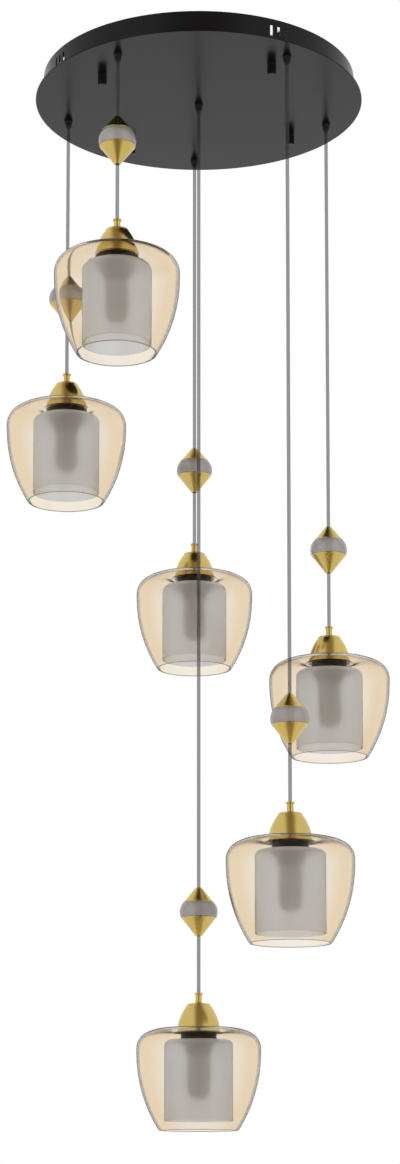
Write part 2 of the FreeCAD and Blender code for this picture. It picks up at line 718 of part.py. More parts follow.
def write_steps():
    os.makedirs("parts", exist_ok=True)
    for name, obj in nodes.items():
        obj.Shape.exportStep(f"parts/{name}.step")
        print(f"{name}: {len(obj.Shape.Solids)} solids, {obj.Shape.Volume / 1000:.2f} cm3")


drill_ring_for_screws(make_ring())
make_cross()
make_cross_screws()
make_studs()
make_plate()
make_finial_nuts()
make_grips()
make_grip_nuts()
make_block()
make_tails()
for pendant in PENDANTS:
    make_cord(pendant)
    make_bead(pendant)
    make_cup(pendant)
    make_holder(pendant)
    make_outer_glass(pendant)
    make_inner_glass(pendant)
    make_lamp(pendant)
doc.recompute()
check_states()
write_steps()
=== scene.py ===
"""Looks of a cluster pendant: a round black canopy with six glass pendants at stepped heights.

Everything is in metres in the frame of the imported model: +Z is up and the origin is on the ceiling.
Sizes in the classes below are millimetres, as on a workshop drawing, and are turned into metres by MM.
"""
from __future__ import annotations

import logging
import math
from collections.abc import Iterable, Mapping, Sequence
from dataclasses import dataclass, field
from enum import Enum, IntEnum
from typing import ClassVar

import bmesh
import bpy
from mathutils import Matrix, Vector


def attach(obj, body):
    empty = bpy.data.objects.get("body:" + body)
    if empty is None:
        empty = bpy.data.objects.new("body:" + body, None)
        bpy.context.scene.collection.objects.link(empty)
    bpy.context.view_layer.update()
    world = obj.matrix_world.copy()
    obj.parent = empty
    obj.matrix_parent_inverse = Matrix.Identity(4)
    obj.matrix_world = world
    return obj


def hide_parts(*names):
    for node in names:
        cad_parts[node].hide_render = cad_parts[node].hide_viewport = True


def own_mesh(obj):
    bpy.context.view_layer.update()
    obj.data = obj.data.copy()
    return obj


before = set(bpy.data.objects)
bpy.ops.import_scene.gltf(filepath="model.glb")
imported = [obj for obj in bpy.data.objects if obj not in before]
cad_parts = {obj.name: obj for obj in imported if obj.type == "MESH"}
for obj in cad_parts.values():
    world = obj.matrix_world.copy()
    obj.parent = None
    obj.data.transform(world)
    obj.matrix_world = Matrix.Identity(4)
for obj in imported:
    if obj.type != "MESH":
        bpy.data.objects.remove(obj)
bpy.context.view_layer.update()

log = logging.getLogger("cluster_pendant")

MM = 0.001
WHITE = (1.0, 1.0, 1.0)
Colour = tuple[float, float, float]
Place = tuple[float, float, float]
Corner = tuple[float, ...]


# ---------------------------------------------------------------- node building

class Wire:
    """A value socket that takes part in Python arithmetic by adding Math nodes."""

    def __init__(self, graph: Graph, socket: bpy.types.NodeSocket) -> None:
        """Wrap an output socket of a node in a graph."""
        self.graph = graph
        self.socket = socket

    def _math(self, operation: str, first: object, second: object) -> Wire:
        """The result of a new Math node that works on two values or wires."""
        node = self.graph.node("ShaderNodeMath", {"operation": operation}, {0: first, 1: second})
        return Wire(self.graph, node.outputs[0])

    def __add__(self, other: object) -> Wire:
        """self + other."""
        return self._math("ADD", self, other)

    def __radd__(self, other: object) -> Wire:
        """other + self."""
        return self._math("ADD", other, self)

    def __sub__(self, other: object) -> Wire:
        """self - other."""
        return self._math("SUBTRACT", self, other)

    def __rsub__(self, other: object) -> Wire:
        """other - self."""
        return self._math("SUBTRACT", other, self)

    def __mul__(self, other: object) -> Wire:
        """self * other."""
        return self._math("MULTIPLY", self, other)

    def __rmul__(self, other: object) -> Wire:
        """other * self."""
        return self._math("MULTIPLY", other, self)

    def __truediv__(self, other: object) -> Wire:
        """self / other."""
        return self._math("DIVIDE", self, other)

    def __rtruediv__(self, other: object) -> Wire:
        """other / self."""
        return self._math("DIVIDE", other, self)

    def __mod__(self, other: object) -> Wire:
        """self modulo other."""
        return self._math("MODULO", self, other)

    def __rmod__(self, other: object) -> Wire:
        """other modulo self."""
        return self._math("MODULO", other, self)

    def __pow__(self, other: object) -> Wire:
        """self to the power of other."""
        return self._math("POWER", self, other)

    def __rpow__(self, other: object) -> Wire:
        """other to the power of self."""
        return self._math("POWER", other, self)

    def floor(self) -> Wire:
        """The whole part of the value."""
        return self._math("FLOOR", self, 0.0)

    def cosine(self) -> Wire:
        """The cosine of the value in radians."""
        return self._math("COSINE", self, 0.0)

    def sine(self) -> Wire:
        """The sine of the value in radians."""
        return self._math("SINE", self, 0.0)

    def below(self, limit: float) -> Wire:
        """1 where the value is under the limit, and 0 elsewhere."""
        return self._math("LESS_THAN", self, limit)

    def some(self) -> Wire:
        """1 where a count is one or more, and 0 where it is none."""
        return 1 - self.below(0.5)

    def highest(self, other: object) -> Wire:
        """The larger of the value and another."""
        return self._math("MAXIMUM", self, other)


class Graph:
    """Builds the nodes of one material, world or geometry tree."""

    def __init__(self, tree: bpy.types.NodeTree) -> None:
        """Empty a tree to build in it."""
        tree.nodes.clear()
        self.tree = tree

    def node(self, kind: str, settings: Mapping[str, object] | None = None,
             values: Mapping[str | int, object] | None = None) -> bpy.types.Node:
        """Add a node.

        Args:
            kind: The node's type name.
            settings: Its properties; "stops" fills a colour ramp with (position, colour) pairs.
            values: For sockets, by name or number: numbers, colours, sockets, wires or nodes.

        Returns:
            The node.
        """
        made = self.tree.nodes.new(kind)
        for name, value in (settings or {}).items():
            if name == "stops":
                self._fill_ramp(made.color_ramp, value)
            else:
                setattr(made, name, value)
        for key, value in (values or {}).items():
            self._feed(made.inputs[key], value)
        return made

    @staticmethod
    def _fill_ramp(ramp: bpy.types.ColorRamp, stops: Sequence[tuple[float, Colour]]) -> None:
        """Give a colour ramp its stops.

        Args:
            ramp: The ramp.
            stops: Positions and colours, from left to right.
        """
        while len(ramp.elements) < len(stops):
            ramp.elements.new(1.0)
        for element, (position, colour) in zip(ramp.elements, stops):
            element.position = position
            element.color = (*colour, 1.0)

    def _feed(self, socket: bpy.types.NodeSocket, value: object) -> None:
        """Set or link an input socket.

        Args:
            socket: The input.
            value: A number, colour, socket, wire or node.
        """
        if isinstance(value, Wire):
            self.tree.links.new(value.socket, socket)
        elif isinstance(value, bpy.types.NodeSocket):
            self.tree.links.new(value, socket)
        elif isinstance(value, bpy.types.Node):
            self.tree.links.new(value.outputs[0], socket)
        elif isinstance(value, tuple) and len(value) == 3 and socket.type == "RGBA":
            socket.default_value = (*value, 1.0)
        else:
            socket.default_value = value

    def wire(self, node: bpy.types.Node, output: str | int = 0) -> Wire:
        """An output of a node as a wire."""
        return Wire(self, node.outputs[output])

    def noise(self, place: object, scale: float, detail: float) -> Wire:
        """Soft noise round 0.5, read at a place; more detail adds finer layers."""
        return self.wire(self.node("ShaderNodeTexNoise", {}, {
            "Vector": place, "Scale": scale, "Detail": detail}), "Fac")

    def ramp(self, value: object, start: float, end: float, top: float = 1.0) -> Wire:
        """Rise softly from 0 to a top value.

        Args:
            value: What drives the rise.
            start: Its value where the rise starts.
            end: Its value where the rise ends.
            top: The result from there on.

        Returns:
            The result.
        """
        node = self.node("ShaderNodeMapRange", {"interpolation_type": "SMOOTHSTEP"}, {
            "Value": value, "From Min": start, "From Max": end, "To Min": 0.0, "To Max": top})
        return self.wire(node)

    def mix_colour(self, factor: object, first: object, second: object) -> bpy.types.NodeSocket:
        """The socket of two colours' blend; a factor of 0 gives the first and 1 the second."""
        node = self.node("ShaderNodeMix", {"data_type": "RGBA"}, {0: factor, 6: first, 7: second})
        return node.outputs[2]


# ---------------------------------------------------------------- finishes

class Grain(Enum):
    """What the surface of a finish looks like from close by."""

    POWDER_COAT = "powder_coat"
    TURNED = "turned"
    MOULDED = "moulded"
    SHEATH = "sheath"
    FIRED = "fired"
    DRAWN = "drawn"


GRAIN_SCALE = {Grain.POWDER_COAT: 900.0, Grain.TURNED: 2600.0, Grain.MOULDED: 1800.0,
               Grain.SHEATH: 1400.0, Grain.FIRED: 60.0, Grain.DRAWN: 60.0}
CLOUD_SCALE, DRAWN_CLOUD_SCALE = 14.0, 42.0
ALONG_SHEATH, ALONG_DRAWN = (1.0, 1.0, 0.08), (1.0, 1.0, 0.04)


@dataclass(frozen=True)
class Finish:
    """An opaque finish with a fine procedural grain.

    Its colour drifts between two shades, and its roughness follows the same drift and the grain.
    """

    name: str
    slot: str
    colour: Colour
    second: Colour
    roughness: float
    grain: Grain
    metallic: float = 0.0
    coat: float = 0.0
    coat_roughness: float = 0.12
    rough_spread: float = 0.06
    relief: float = 0.02 * MM
    relief_strength: float = 0.6
    specular: float = 0.5
    alpha: float = 1.0
    made: ClassVar[dict[str, bpy.types.Material]] = {}

    def material(self) -> bpy.types.Material:
        """The finish's material, made when it is first asked for.

        Returns:
            The material.
        """
        if self.name not in self.made:
            material = bpy.data.materials.new(self.name)
            material.use_nodes = True
            material.diffuse_color = (*self.colour, 1.0)
            self.build(Graph(material.node_tree))
            self.made[self.name] = material
        return self.made[self.name]

    def build(self, graph: Graph) -> None:
        """Build the shader.

        Args:
            graph: The material's graph.
        """
        place = graph.node("ShaderNodeTexCoord").outputs["Object"]
        cloud = self.cloud(graph, place)
        grain = self.grain_height(graph, place)
        bump = graph.node("ShaderNodeBump", {}, {
            "Strength": self.relief_strength, "Distance": self.relief, "Height": grain})
        rough = self.roughness + (cloud - 0.5) * self.rough_spread + (grain - 0.5) * self.rough_spread
        shader = graph.node("ShaderNodeBsdfPrincipled", {}, {
            "Base Color": graph.mix_colour(cloud, self.colour, self.second),
            "Roughness": rough,
            "Metallic": self.metallic,
            "Specular IOR Level": self.specular,
            "Coat Weight": self.coat,
            "Coat Roughness": self.coat_roughness,
            "Alpha": self.alpha,
            "Normal": bump})
        graph.node("ShaderNodeOutputMaterial", {}, {"Surface": shader})

    def cloud(self, graph: Graph, place: bpy.types.NodeSocket) -> Wire:
        """A slow, soft variation over the surface.

        Args:
            graph: The material's graph.
            place: The object coordinates.

        Returns:
            A value round 0.5.
        """
        if self.grain is Grain.DRAWN:
            long = graph.node("ShaderNodeMapping", {}, {0: place, "Scale": ALONG_DRAWN})
            return graph.noise(long, DRAWN_CLOUD_SCALE, 2.0)
        return graph.noise(place, CLOUD_SCALE, 3.0)

    def grain_height(self, graph: Graph, place: bpy.types.NodeSocket) -> Wire:
        """The fine grain's height.

        Args:
            graph: The material's graph.
            place: The object coordinates.

        Returns:
            A value round 0.5.
        """
        scale = GRAIN_SCALE[self.grain]
        if self.grain is Grain.TURNED:
            split = graph.node("ShaderNodeSeparateXYZ", {}, {0: place})
            rings = graph.node("ShaderNodeTexNoise", {"noise_dimensions": "1D"}, {
                "W": split.outputs["Z"], "Scale": scale, "Detail": 2.0})
            return graph.wire(rings, "Fac")
        if self.grain is Grain.SHEATH:
            long = graph.node("ShaderNodeMapping", {}, {0: place, "Scale": ALONG_SHEATH})
            return graph.noise(long, scale, 2.0)
        return graph.noise(place, scale, 4.0)


@dataclass(frozen=True)
class TintedGlass(Finish):
    """Blown glass that light passes: deeper in tint at its sides, with painted shade drawn as dark
    lines along its edges.
    """

    coat_roughness: float = 0.03
    relief_strength: float = 0.25
    side: Colour = (0.5, 0.5, 0.5)
    side_end: float = 0.5
    transmission: float = 1.0
    ior: float = 1.45
    wave_scale: float = 22.0
    # The next four fields set the painted shade of the dark edge lines: its colour, where it fades in
    # at grazing angles, and how much of the glass it covers there.
    rim: Colour = (0.10, 0.097, 0.092)
    painted_rim_start: float = 0.70
    painted_rim_end: float = 0.93
    painted_rim_cover: float = 0.9

    def build(self, graph: Graph) -> None:
        """Build the shader.

        Args:
            graph: The material's graph.
        """
        place = graph.node("ShaderNodeTexCoord").outputs["Object"]
        facing = graph.node("ShaderNodeLayerWeight", {}, {"Blend": 0.5}).outputs["Facing"]
        wave = graph.noise(place, self.wave_scale, 1.0)
        bump = graph.node("ShaderNodeBump", {}, {
            "Strength": self.relief_strength, "Distance": self.relief, "Height": wave})
        tint = graph.mix_colour(self.cloud(graph, place), self.colour, self.second)
        body = graph.node("ShaderNodeBsdfPrincipled", {}, {
            "Base Color": graph.mix_colour(graph.ramp(facing, 0.0, self.side_end), tint, self.side),
            "Roughness": self.roughness,
            "IOR": self.ior,
            "Transmission Weight": self.transmission,
            "Specular IOR Level": self.specular,
            "Coat Weight": self.coat,
            "Coat Roughness": self.coat_roughness,
            "Normal": bump})
        # Painted shade: a dark matt shader, mixed in at grazing angles, draws the dark lines along the
        # glass's edges.
        edge = graph.node("ShaderNodeBsdfDiffuse", {}, {"Color": self.rim})
        cover = graph.ramp(facing, self.painted_rim_start, self.painted_rim_end, self.painted_rim_cover)
        blend = graph.node("ShaderNodeMixShader", {}, {0: cover, 1: body, 2: edge})
        graph.node("ShaderNodeOutputMaterial", {}, {"Surface": blend})


CANOPY_COAT = Finish("canopy_coat", "black_coat", (0.003, 0.003, 0.004), (0.005, 0.005, 0.006),
                     0.25, Grain.POWDER_COAT, relief=0.012 * MM, specular=0.15)
NUT_BLACK = Finish("nut_black", "black_nut", (0.004, 0.004, 0.005), (0.007, 0.007, 0.008),
                   0.35, Grain.TURNED, specular=0.2)
PLASTIC_BLACK = Finish("plastic_black", "black_plastic", (0.006, 0.006, 0.008),
                       (0.010, 0.009, 0.013), 0.42, Grain.MOULDED, specular=0.2)
ZINC = Finish("zinc_plate", "zinc_steel", (0.84, 0.84, 0.85), (0.90, 0.90, 0.90), 0.5,
              Grain.POWDER_COAT, metallic=0.35)
PLASTIC_WHITE = Finish("plastic_white", "white_plastic", (0.72, 0.72, 0.7), (0.78, 0.78, 0.76),
                       0.45, Grain.MOULDED)
SHEATH = Finish("smoky_sheath", "cord_sheath", (0.026, 0.026, 0.028), (0.034, 0.034, 0.036), 0.5,
                Grain.SHEATH, relief=0.03 * MM, specular=0.25, alpha=0.49)
BRASS = Finish("brushed_brass", "brass", (0.54, 0.405, 0.112), (0.62, 0.47, 0.145), 0.2,
               Grain.TURNED, metallic=1.0, rough_spread=0.08, relief=0.006 * MM)
NICKEL = Finish("lamp_cap_metal", "zinc_steel", (0.62, 0.6, 0.56), (0.7, 0.68, 0.64), 0.28,
                Grain.TURNED, metallic=1.0)
OPAL = Finish("opal_lamp", "lamp_glass", (0.25, 0.22, 0.20), (0.29, 0.26, 0.24), 0.3,
              Grain.FIRED, coat=0.2, relief=0.01 * MM)
CHAMPAGNE = TintedGlass("champagne_bell", "champagne_glass", (0.905, 0.865, 0.81),
                        (0.93, 0.89, 0.84), 0.0, Grain.FIRED, coat=0.3, relief=0.08 * MM,
                        side=(0.885, 0.79, 0.65), ior=1.1)
BEAD_GLASS = TintedGlass("smoky_bead", "smoke_glass", (0.35, 0.32, 0.295), (0.42, 0.385, 0.36),
                         0.12, Grain.FIRED, coat=0.3, relief=0.05 * MM,
                         side=(0.30, 0.275, 0.26), transmission=0.4)
SMOKE = TintedGlass("smoky_cylinder", "smoke_glass", (0.79, 0.82, 0.88), (0.93, 0.955, 0.99),
                    0.34, Grain.DRAWN, coat=0.2, relief=0.08 * MM, side=(0.85, 0.88, 0.93),
                    transmission=0.78, ior=1.3, painted_rim_cover=0.5)
# Painted shade: a dark, part-clear finish for the faces round the bell's mouth, which draws the dark
# line seen at the lip.
LIP_PAINTED_SHADE = Finish("lip_painted_shade", "champagne_glass", (0.10, 0.097, 0.09),
                   (0.14, 0.135, 0.125), 0.25, Grain.FIRED, coat=0.3, alpha=0.72)


# ---------------------------------------------------------------- turned pieces

class Bulge(IntEnum):
    """The side of the way to which an arc bulges."""

    LEFT = 1
    RIGHT = -1


LEFT, RIGHT = Bulge.LEFT, Bulge.RIGHT


class Outline:
    """The outline of a turned piece, right of its axis, in millimetres.

    It is closed, or starts and ends on the axis.
    """

    ARC_STEP = 4.0
    SHARP = 20.0
    EASE_STEPS = 4
    MOST_EASED = 0.4
    MARGIN = 0.2
    TINY = 1e-6

    def __init__(self, corners: Sequence[Corner], ease: float = 0.3) -> None:
        """Draw the outline.

        Args:
            corners: (radius, height), or (radius, height, arc radius, side) for the end of an arc
                that bulges to the left or right of the way.
            ease: The radius that hard corners are rounded to.
        """
        drawn: list[Vector] = []
        for index, corner in enumerate(corners):
            end = Vector(corner[:2])
            if len(corner) == 4:
                drawn += self._arc(Vector(corners[index - 1][:2]), end, corner[2], corner[3])
            drawn.append(end)
        self.points = self._eased(drawn, ease)

    def _arc(self, start: Vector, end: Vector, radius: float, side: Bulge) -> list[Vector]:
        """Points on a short arc, without its ends.

        Args:
            start: Where it starts.
            end: Where it ends.
            radius: Its radius.
            side: The side to which it bulges.

        Returns:
            The points between the ends.
        """
        chord = end - start
        normal = Vector((-chord.y, chord.x)).normalized() * side
        sunk = math.sqrt(max(radius ** 2 - (chord.length / 2) ** 2, 0.0))
        centre = (start + end) / 2 - normal * sunk
        first, last = start - centre, end - centre
        turn = first.angle_signed(last)
        count = max(2, round(abs(math.degrees(turn)) / self.ARC_STEP))
        return [centre + Matrix.Rotation(-turn * i / count, 2) @ first for i in range(1, count)]

    def _eased(self, drawn: Sequence[Vector], ease: float) -> list[Vector]:
        """Round the hard corners, with a short flat beside each so that shading stays clean.

        Args:
            drawn: The outline's points.
            ease: The corners' radius.

        Returns:
            The new points.
        """
        sharp = math.radians(self.SHARP)
        soft: list[Vector] = []
        for index, corner in enumerate(drawn):
            before, after = drawn[index - 1], drawn[(index + 1) % len(drawn)]
            into, out = corner - before, after - corner
            if min(into.length, out.length) < self.TINY:
                continue
            turn = into.angle(out)
            if turn < sharp or corner.x < self.TINY:
                soft.append(corner)
                continue
            reach = min(ease * math.tan(turn / 2),
                        self.MOST_EASED * into.length, self.MOST_EASED * out.length)
            first, last = corner - into.normalized() * reach, corner + out.normalized() * reach
            margin = reach * self.MARGIN
            soft.append(first - into.normalized() * margin)
            for step in range(self.EASE_STEPS + 1):
                t = step / self.EASE_STEPS
                soft.append(first * (1 - t) ** 2 + corner * 2 * t * (1 - t) + last * t * t)
            soft.append(last + out.normalized() * margin)
        return soft

    def mesh(self, name: str) -> bpy.types.Mesh:
        """The outline as a chain of vertices in metres, closed unless it ends on the axis.

        Args:
            name: The mesh's name.

        Returns:
            The mesh.
        """
        chain = [(p.x * MM, 0.0, p.y * MM) for p in self.points]
        if max(self.points[0].x, self.points[-1].x) > self.TINY:
            chain.append(chain[0])
        made = bpy.data.meshes.new(name)
        made.from_pydata(chain, [(i, i + 1) for i in range(len(chain) - 1)], [])
        return made


class GeometryTool:
    """A Geometry Nodes tree with named inputs that is applied to a mesh of its own."""

    def __init__(self, name: str, inputs: Mapping[str, str]) -> None:
        """Make the tree's interface.

        Args:
            name: The tree's name.
            inputs: Each input's name and socket type, after the geometry itself.
        """
        self.tree = bpy.data.node_groups.new(name, "GeometryNodeTree")
        self.graph = Graph(self.tree)
        face = self.tree.interface
        face.new_socket(name="Geometry", in_out="INPUT", socket_type="NodeSocketGeometry")
        self.keys = {
            label: face.new_socket(name=label, in_out="INPUT", socket_type=kind).identifier
            for label, kind in inputs.items()}
        face.new_socket(name="Geometry", in_out="OUTPUT", socket_type="NodeSocketGeometry")
        self.given = self.graph.node("NodeGroupInput")

    def apply(self, name: str, base: bpy.types.Mesh, values: Mapping[str, object]) -> bpy.types.Mesh:
        """Run the tree on a base mesh.

        Args:
            name: The new mesh's name.
            base: The mesh that the tree starts from.
            values: The inputs' values by name.

        Returns:
            The finished plain mesh.
        """
        holder = bpy.data.objects.new(f"{name}_base", base)
        bpy.context.scene.collection.objects.link(holder)
        modifier = holder.modifiers.new("tool", "NODES")
        modifier.node_group = self.tree
        for label, value in values.items():
            modifier[self.keys[label]] = value
        bpy.context.view_layer.update()
        evaluated = holder.evaluated_get(bpy.context.evaluated_depsgraph_get())
        made = bpy.data.meshes.new_from_object(evaluated)
        made.name = name
        holder.modifiers.remove(modifier)
        bpy.data.objects.remove(holder)
        return made


class TurningLathe(GeometryTool):
    """Turns an outline about its axis and sets a copy at every vertex of the base mesh."""

    SEAM = 0.002 * MM

    def __init__(self) -> None:
        """Build the tree."""
        super().__init__("turned_piece", {
            "Outline": "NodeSocketObject", "Segments": "NodeSocketInt", "Finish": "NodeSocketMaterial"})
        g = self.graph
        given = self.given.outputs
        outline = g.node("GeometryNodeObjectInfo", {"transform_space": "ORIGINAL"}, {
            "Object": given["Outline"]}).outputs["Geometry"]
        size = g.node("GeometryNodeAttributeDomainSize", {"component": "MESH"}, {"Geometry": outline})
        rows = g.wire(size, "Point Count")
        segments = Wire(g, given["Segments"])
        grid = g.node("GeometryNodeMeshGrid", {}, {"Vertices X": segments + 1, "Vertices Y": rows})
        index = g.wire(g.node("GeometryNodeInputIndex"))
        angle = (index / rows).floor() / segments * math.tau
        sample = g.node("GeometryNodeSampleIndex", {"data_type": "FLOAT_VECTOR", "domain": "POINT"}, {
            "Geometry": outline, "Value": g.node("GeometryNodeInputPosition"), "Index": index % rows})
        split = g.node("ShaderNodeSeparateXYZ", {}, {0: sample.outputs["Value"]})
        radius = g.wire(split, "X")
        place = g.node("ShaderNodeCombineXYZ", {}, {
            "X": radius * angle.cosine(), "Y": radius * angle.sine(), "Z": split.outputs["Z"]})
        wrapped = g.node("GeometryNodeSetPosition", {}, {
            "Geometry": grid.outputs["Mesh"], "Position": place})
        closed = g.node("GeometryNodeMergeByDistance", {}, {
            "Geometry": wrapped, "Distance": self.SEAM})
        copies = g.node("GeometryNodeInstanceOnPoints", {}, {
            "Points": given["Geometry"], "Instance": closed})
        real = g.node("GeometryNodeRealizeInstances", {}, {"Geometry": copies})
        dressed = g.node("GeometryNodeSetMaterial", {}, {"Geometry": real, "Material": given["Finish"]})
        g.node("NodeGroupOutput", {}, {0: dressed})

    def turn(self, name: str, outline: Outline, spots: Sequence[Vector], finish: Finish,
             segments: int) -> bpy.types.Mesh:
        """Turn one outline.

        Args:
            name: The new mesh's name.
            outline: What is turned.
            spots: Where the copies stand, in metres.
            finish: Their finish.
            segments: How many faces go round.

        Returns:
            The mesh.
        """
        holder = bpy.data.objects.new(f"{name}_outline", outline.mesh(f"{name}_outline"))
        bpy.context.scene.collection.objects.link(holder)
        base = bpy.data.meshes.new(f"{name}_spots")
        base.from_pydata([tuple(spot) for spot in spots], [], [])
        made = self.apply(name, base, {
            "Outline": holder, "Segments": segments, "Finish": finish.material()})
        bpy.data.objects.remove(holder)
        return made


class CordMachine(GeometryTool):
    """Lays a round sheath along a chain of vertices."""

    def __init__(self) -> None:
        """Build the tree."""
        super().__init__("round_sheath", {
            "Radius": "NodeSocketFloat", "Sides": "NodeSocketInt", "Finish": "NodeSocketMaterial"})
        g = self.graph
        given = self.given.outputs
        line = g.node("GeometryNodeMeshToCurve", {}, {"Mesh": given["Geometry"]})
        circle = g.node("GeometryNodeCurvePrimitiveCircle", {"mode": "RADIUS"}, {
            "Resolution": given["Sides"], "Radius": given["Radius"]})
        tube = g.node("GeometryNodeCurveToMesh", {}, {
            "Curve": line, "Profile Curve": circle.outputs["Curve"], "Fill Caps": True})
        real = g.node("GeometryNodeRealizeInstances", {}, {"Geometry": tube})
        dressed = g.node("GeometryNodeSetMaterial", {}, {"Geometry": real, "Material": given["Finish"]})
        g.node("NodeGroupOutput", {}, {0: dressed})

    def sheath(self, name: str, line: bpy.types.Mesh, radius: float, sides: int,
               finish: Finish) -> bpy.types.Mesh:
        """A sheath's mesh along a chain of vertices in metres, with its radius in millimetres."""
        return self.apply(name, line, {
            "Radius": radius * MM, "Sides": sides, "Finish": finish.material()})


WELD = 0.001 * MM
SMOOTH_UNDER = math.radians(32)


def joined(name: str, meshes: Iterable[bpy.types.Mesh]) -> bpy.types.Mesh:
    """Join meshes into one, with merged doubles, outward faces and clean shading.

    Args:
        name: The new mesh's name.
        meshes: What is joined; they share one material.

    Returns:
        The joined mesh.
    """
    shape = bmesh.new()
    materials: list[bpy.types.Material] = []
    for mesh in meshes:
        shape.from_mesh(mesh)
        materials = [material for material in mesh.materials if material]
        bpy.data.meshes.remove(mesh)
    bmesh.ops.remove_doubles(shape, verts=shape.verts, dist=WELD)
    bmesh.ops.recalc_face_normals(shape, faces=shape.faces)
    made = bpy.data.meshes.new(name)
    shape.to_mesh(made)
    shape.free()
    for material in materials:
        made.materials.append(material)
    for face in made.polygons:
        face.material_index = 0
    made.shade_smooth()
    made.set_sharp_from_angle(angle=SMOOTH_UNDER)
    return made


def add_piece(name: str, mesh: bpy.types.Mesh, body: str,
              nodes: Sequence[str]) -> bpy.types.Object:
    """Put a finished mesh into the scene as a piece of the object.

    Args:
        name: The piece's name.
        mesh: Its mesh, in place.
        body: The body it moves with.
        nodes: The solids that it stands for.

    Returns:
        The piece.
    """
    piece = bpy.data.objects.new(name, mesh)
    bpy.context.scene.collection.objects.link(piece)
    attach(piece, body)
    if nodes:
        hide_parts(*nodes)
    log.info("%s: %d faces on %s", name, len(mesh.polygons), body)
    return piece


# ---------------------------------------------------------------- shared steps

def dress_node(node: str, finish: Finish) -> None:
    """Give a solid that is kept its finish.

    Args:
        node: The node's name.
        finish: The finish.
    """
    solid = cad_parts[node]
    if not solid.material_slots:
        solid.data.materials.append(finish.material())
    for place in solid.material_slots:
        place.material = finish.material()
    log.info("%s: dressed in %s", node, finish.name)


def with_near_points(corners: Sequence[Vector], near: float) -> list[Vector]:
    """Add a point near each corner so that a smooth curve keeps to the route.

    Args:
        corners: The route's corners, in metres.
        near: How far from a corner the new points lie, at most.

    Returns:
        The route's points.
    """
    route = [corners[0]]
    for before, corner, after in zip(corners, corners[1:], corners[2:]):
        into, out = corner - before, after - corner
        route.append(corner - into.normalized() * min(near, into.length * 0.5))
        route.append(corner)
        route.append(corner + out.normalized() * min(near, out.length * 0.5))
    route.append(corners[-1])
    return route


def route_line(name: str, route: Sequence[Vector]) -> bpy.types.Mesh:
    """The smooth line of a cord's route, as a chain of vertices.

    Args:
        name: The line's name.
        route: The route's control points, in metres.

    Returns:
        The line's mesh.
    """
    curve = bpy.data.curves.new(f"{name}_route", "CURVE")
    curve.dimensions = "3D"
    spline = curve.splines.new("NURBS")
    spline.points.add(len(route) - 1)
    for point, place in zip(spline.points, route):
        point.co = (*place, 1.0)
    spline.order_u = 3
    spline.use_endpoint_u = True
    curve.resolution_u = 6
    holder = bpy.data.objects.new(f"{name}_route", curve)
    bpy.context.scene.collection.objects.link(holder)
    bpy.context.view_layer.update()
    evaluated = holder.evaluated_get(bpy.context.evaluated_depsgraph_get())
    line = bpy.data.meshes.new_from_object(evaluated)
    bpy.data.objects.remove(holder)
    return line


# ---------------------------------------------------------------- canopy

@dataclass
class Spots:
    """Where the pendants hang and the cap nuts stand on the plan."""

    circle: float = 211.5
    first_angle: float = 234.0
    round_middle: int = 5
    stud_circle: float = 180.0
    stud_angle: float = 35.0
    studs: int = 4

    def pendant(self, number: int) -> Vector:
        """The place of a pendant's axis.

        Args:
            number: The pendant, from 1; the last one hangs in the middle.

        Returns:
            The place in metres.
        """
        if number > self.round_middle:
            return Vector((0.0, 0.0, 0.0))
        return self._on(self.circle, self.first_angle - 360.0 / self.round_middle * (number - 1))

    def stud(self, number: int) -> Vector:
        """The place of a stud's axis, in metres."""
        return self._on(self.stud_circle, self.stud_angle + 360.0 / self.studs * number)

    @staticmethod
    def _on(radius: float, degrees: float) -> Vector:
        """A point on a circle round the middle, in metres."""
        turn = math.radians(degrees)
        return Vector((radius * math.cos(turn), radius * math.sin(turn), 0.0)) * MM


@dataclass
class CapNuts:
    """The cylindrical cap nuts under the plate, each with a shallow groove near its open end."""

    radius: float = 6.75
    length: float = 18.0
    bore: float = 2.6
    well: float = 14.1
    groove_depth: float = 0.35
    groove_top: float = 2.4
    groove_low: float = 3.8
    groove_slope: float = 0.4
    chamfer: float = 1.0

    def outline(self, top: float) -> Outline:
        """Draw one nut.

        Args:
            top: The level of its open end.

        Returns:
            Its outline, from the well's floor round to the closed end.
        """
        low, well, waist = top - self.length, top - self.well, self.radius - self.groove_depth
        return Outline([
            (0.0, well), (self.bore, well), (self.bore, top), (self.radius, top),
            (self.radius, top - self.groove_top),
            (waist, top - self.groove_top - self.groove_slope),
            (waist, top - self.groove_low + self.groove_slope),
            (self.radius, top - self.groove_low),
            (self.radius, low + self.chamfer), (self.radius - self.chamfer, low), (0.0, low)])


@dataclass
class CordGrips:
    """The cord grips: a flange, a tapering clamp below it and a shank above.

    The clamp's corners are radii and distances below the plate.
    """

    bore: float = 2.8
    shank: float = 4.9
    shank_length: float = 7.0
    shank_chamfer: float = 0.4
    flange: float = 6.5
    flange_height: float = 2.5
    clamp: tuple[Corner, ...] = ((5.9, 3.5), (5.5, 5.6), (5.1, 5.9), (5.1, 6.5), (5.1, 6.9))
    tip: float = 3.7
    tip_bevel: Corner = (0.5, 1.2)
    length: float = 12.0

    def outline(self, top: float) -> Outline:
        """Draw one grip.

        Args:
            top: The level of the plate's underside.

        Returns:
            Its outline.
        """
        low, end = top - self.length, top + self.shank_length
        return Outline([
            (self.bore, end), (self.shank - self.shank_chamfer, end),
            (self.shank, end - self.shank_chamfer), (self.shank, top), (self.flange, top),
            (self.flange, top - self.flange_height),
            *[(radius, top - depth) for radius, depth in self.clamp],
            (self.tip + self.tip_bevel[0], low + self.tip_bevel[1]), (self.tip, low),
            (self.bore, low)], ease=0.25)


